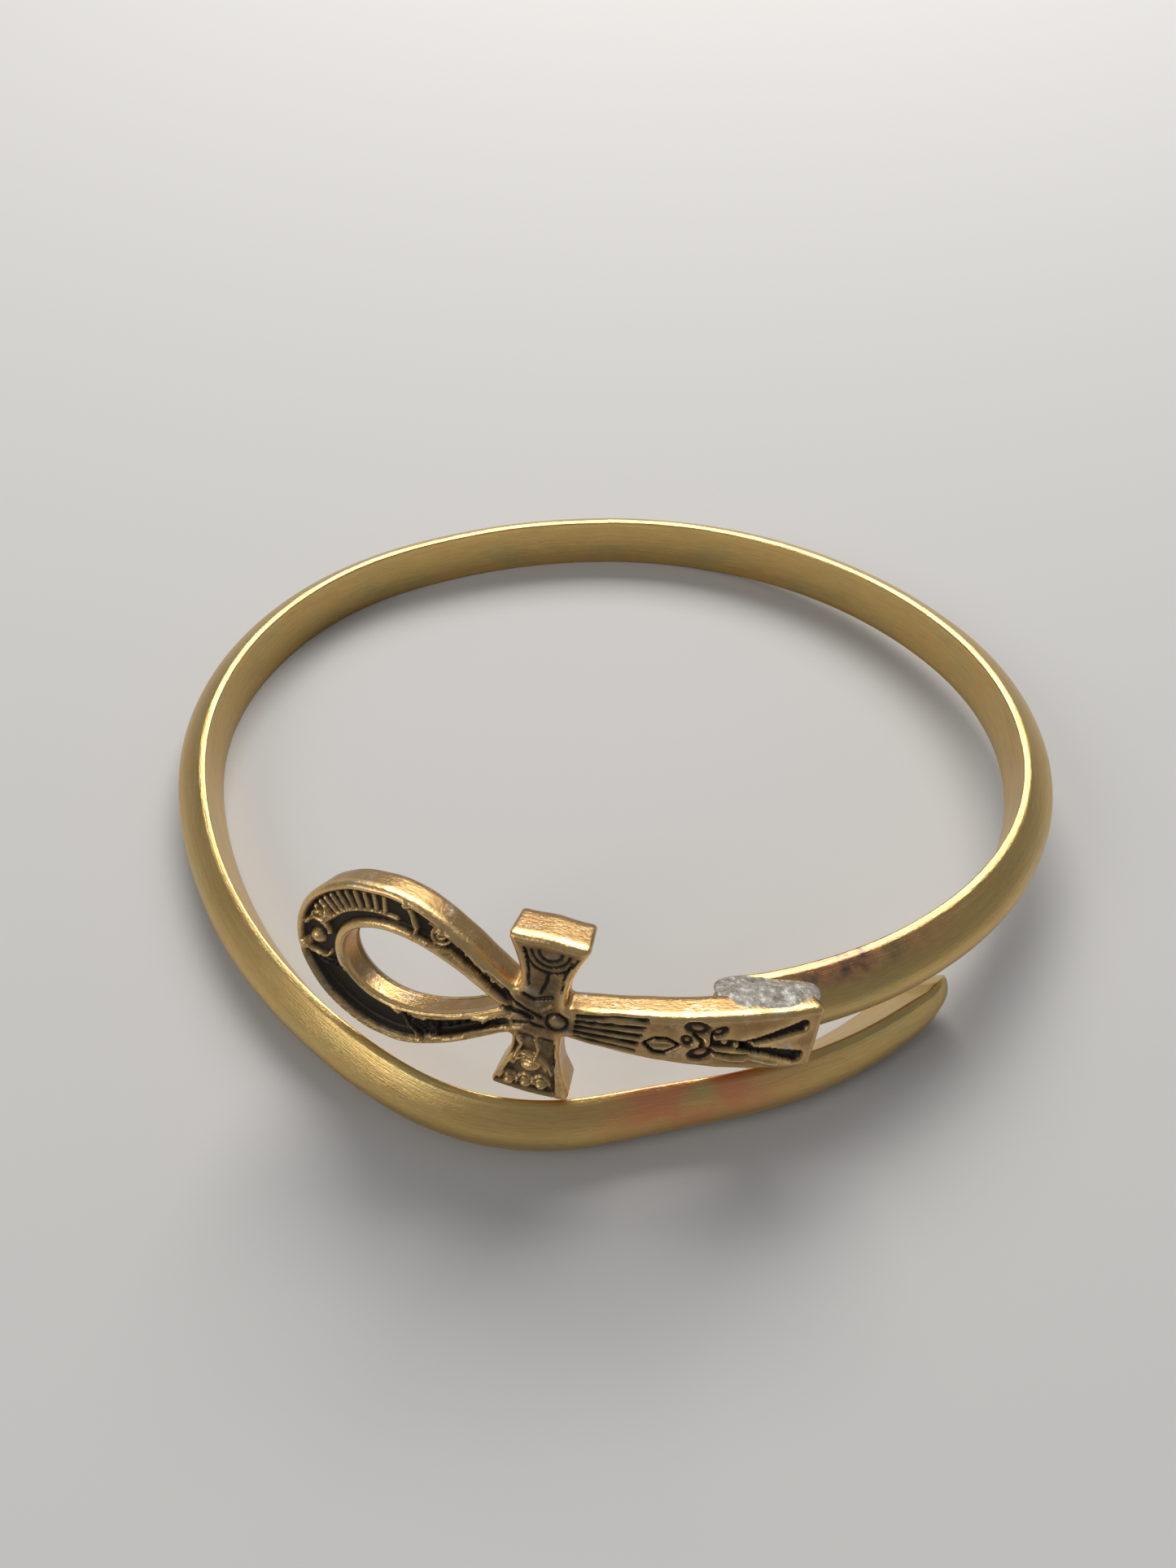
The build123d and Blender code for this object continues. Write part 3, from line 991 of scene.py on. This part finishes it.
def castMaterial():
    material, tree, shader = newMaterial("antiqueBrass")
    space = attribute(tree, "castSpace", True)
    tone = useGroup(tree, alloyTone, Vector=space, Base=(*castBrass["base"], 1), Copper=0.5, Green=0.1)
    wear = attribute(tree, "wear")
    patina = attribute(tree, "patina")
    smear = ramp(tree, noiseNode(tree, space, 0.7, 5, 0.7), [(0.56, (0, 0, 0)), (0.66, (1, 1, 1))])
    rubbed = mathNode(tree, "ADD", noiseNode(tree, space, 1.1, 4, 0.6), 0.45)
    polish = mathNode(tree, "MULTIPLY", wear, rubbed, True)
    bright = mixColour(tree, polish, tone.outputs["Color"], castBrass["worn"])
    bright = mixColour(tree, mathNode(tree, "MULTIPLY", smear, 0.45), bright, castBrass["silver"])
    cloud = noiseNode(tree, space, 1.3, 5, 0.65)
    spread = mathNode(tree, "MULTIPLY", mathNode(tree, "SUBTRACT", cloud, 0.5), 0.8)
    # the dark mix is the patina in the hollows plus painted shade on the flat of the face, with a random
    # spread
    faceShadeAmount = mathNode(tree, "MULTIPLY", attribute(tree, "faceShade"), castBrass["faceShadeStrength"])
    darkening = mathNode(tree, "ADD", mathNode(tree, "ADD", patina, faceShadeAmount), spread)
    darkening = ramp(tree, darkening, [(0.2, (0, 0, 0)), (0.9, (1, 1, 1))])
    colour = mixColour(tree, darkening, bright, castBrass["dark"])
    put(tree, colour, shader.inputs["Base Color"])
    metal = mathNode(tree, "SUBTRACT", 1.0, mathNode(tree, "MULTIPLY", darkening, 0.4))
    put(tree, metal, shader.inputs["Metallic"])
    rough = ramp(tree, darkening, [(0.0, (0.26,) * 3), (1.0, (0.42,) * 3)])
    put(tree, rough, shader.inputs["Roughness"])
    lines = useGroup(tree, brushedLines, Vector=space, Amount=0.6)
    grit = noiseNode(tree, space, 4.5, 5, 0.6)
    height = mathNode(tree, "ADD", lines.outputs["Height"], grit)
    bumpFrom(tree, shader, height, castBrass["gritDepth"])
    return material


softSolder = {
    "dark": (0.15, 0.13, 0.1),
    "grey": (0.36, 0.34, 0.3),
    "bright": (0.78, 0.77, 0.73),
    "metal": 0.85,
    "grainDepth": 0.00012,
}


def solderMaterial():
    material, tree, shader = newMaterial("softSolder")
    space = attribute(tree, "castSpace", True)
    spots = noiseNode(tree, space, 1.8, 6, 0.7)
    k = softSolder
    colour = ramp(tree, spots, [(0.3, k["dark"]), (0.52, k["grey"]), (0.7, k["bright"])])
    put(tree, colour, shader.inputs["Base Color"])
    shader.inputs["Metallic"].default_value = k["metal"]
    rough = ramp(tree, spots, [(0.3, (0.6,) * 3), (0.7, (0.35,) * 3)])
    put(tree, rough, shader.inputs["Roughness"])
    bumpFrom(tree, shader, noiseNode(tree, space, 3.6, 6, 0.65), k["grainDepth"])
    return material


wireBrass = wireMaterial()
for piece in (freeBand, ankhBand):
    piece.data.materials.append(wireBrass)
ankhPiece.data.materials.append(castMaterial())
solderPiece.data.materials.append(solderMaterial())
print("materials made")

# ---- fastening the pieces to the bodies

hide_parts("band_ankh_arm")
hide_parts("band_free_arm")
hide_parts("ankh")
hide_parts("solder_fillet")
for piece in (ankhBand, ankhPiece, solderPiece):
    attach(piece, "ankh_arm")
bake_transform(freeBand)
print("pieces fastened")

# ---- floor and light

studio = {
    "floorSize": 2.4,
    "floor": (0.60, 0.595, 0.59),
    "sky": (0.80, 0.84, 0.9),
    "skyStrength": 0.28,
    # place, size, power and colour of each soft light
    "window": ((0.04, 0.40, 0.42), (0.46, 0.3), 3.3, (1, 0.97, 0.92)),
    "fill": ((-0.35, -0.2, 0.3), (0.2, 0.2), 0.45, (1, 0.95, 0.88)),
}


def addFloor():
    half = studio["floorSize"] / 2
    mesh = bpy.data.meshes.new("floor")
    corners = [(-half, -half, 0), (half, -half, 0), (half, half, 0), (-half, half, 0)]
    mesh.from_pydata(corners, [], [(0, 1, 2, 3)])
    floor = bpy.data.objects.new("floor", mesh)
    bpy.context.scene.collection.objects.link(floor)
    material, _, shader = newMaterial("paleFloor")
    shader.inputs["Base Color"].default_value = (*studio["floor"], 1)
    shader.inputs["Roughness"].default_value = 0.8
    mesh.materials.append(material)


def addLight(name, place, size, power, colour):
    data = bpy.data.lights.new(name, "AREA")
    data.shape = "RECTANGLE"
    data.size, data.size_y = size
    data.energy = power
    data.color = colour
    lamp = bpy.data.objects.new(name, data)
    lamp.location = place
    # aimed at the frame's origin
    lamp.rotation_euler = (-Vector(place)).to_track_quat("-Z", "Y").to_euler()
    bpy.context.scene.collection.objects.link(lamp)


addFloor()
world = bpy.data.worlds.new("studio")
world.use_nodes = True
world.node_tree.nodes["Background"].inputs[0].default_value = (*studio["sky"], 1)
world.node_tree.nodes["Background"].inputs[1].default_value = studio["skyStrength"]
bpy.context.scene.world = world
bpy.context.scene.view_settings.view_transform = "Standard"
for lightName in ("window", "fill"):
    addLight(lightName, *studio[lightName])
print("studio lit")
